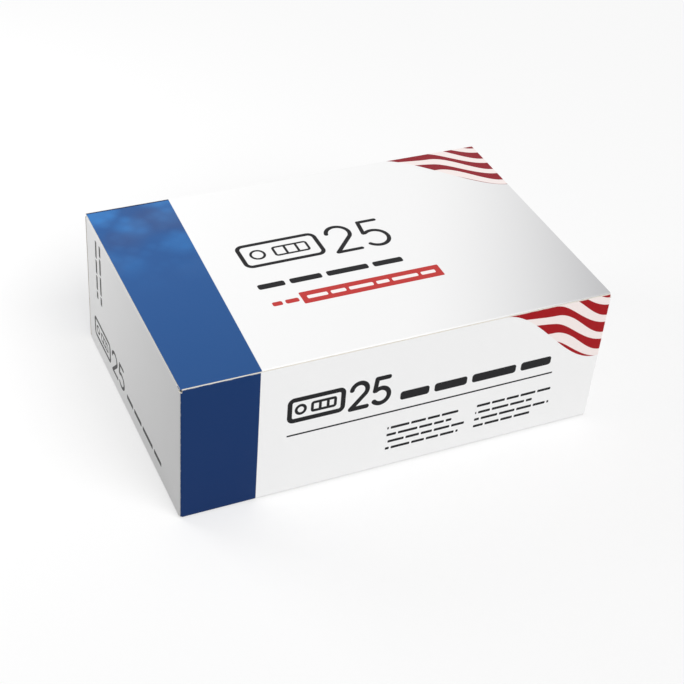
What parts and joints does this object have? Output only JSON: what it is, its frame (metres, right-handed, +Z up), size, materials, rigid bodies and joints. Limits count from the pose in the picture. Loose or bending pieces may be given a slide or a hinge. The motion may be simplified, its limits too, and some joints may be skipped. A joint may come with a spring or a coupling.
{
  "type": "rapid test kit carton",
  "caption": "Folding board carton with a hinged tuck lid and a crash-lock bottom, holding sealed foil test pouches, a buffer dropper bottle and a folded leaflet.",
  "frame": {"origin": "middle of the carton's footprint, on the surface that it stands on", "axes": "+Z up, +X along the long front to the right, -Y towards the front, the lid's crease at +Y"},
  "size_m": [0.2, 0.132, 0.071],
  "materials": {
    "board": "white coated board, satin, printed outside, matt grey-white inside",
    "foil_film": "silver foil laminate, satin, heat-sealed rim",
    "leaflet_paper": "thin uncoated paper",
    "bottle_plastic": "natural polyethylene, satin",
    "tip_plastic": "natural polyethylene, satin",
    "cap_plastic": "white moulded plastic, satin"
  },
  "bodies": {
    "carton": {"carton_body": "board", "pouch_01": "foil_film", "pouch_02": "foil_film", "pouch_03": "foil_film", "pouch_04": "foil_film", "pouch_05": "foil_film", "pouch_06": "foil_film", "pouch_07": "foil_film", "pouch_08": "foil_film", "pouch_09": "foil_film", "pouch_10": "foil_film", "pouch_11": "foil_film", "pouch_12": "foil_film", "pouch_13": "foil_film", "pouch_14": "foil_film", "pouch_15": "foil_film", "pouch_16": "foil_film", "pouch_17": "foil_film", "pouch_18": "foil_film", "pouch_19": "foil_film", "pouch_20": "foil_film", "pouch_21": "foil_film", "pouch_22": "foil_film", "pouch_23": "foil_film", "pouch_24": "foil_film", "pouch_25": "foil_film", "leaflet": "leaflet_paper", "buffer_bottle": "bottle_plastic", "dropper_tip": "tip_plastic"},
    "lid": {"lid": "board"},
    "cap": {"bottle_cap": "cap_plastic"}
  },
  "joints": [
    {"name": "lid_hinge", "type": "hinge", "parent": "carton", "child": "lid", "pos_m": [0, 0.0657, 0.0707], "axis": [-1, 0, 0], "range_deg": [0, 180]},
    {"name": "cap_turn", "type": "hinge", "parent": "carton", "child": "cap", "pos_m": [0.0663, 0.05, 0.05], "axis": [0, 0, 1], "range_deg": [0, 540]}
  ]
}
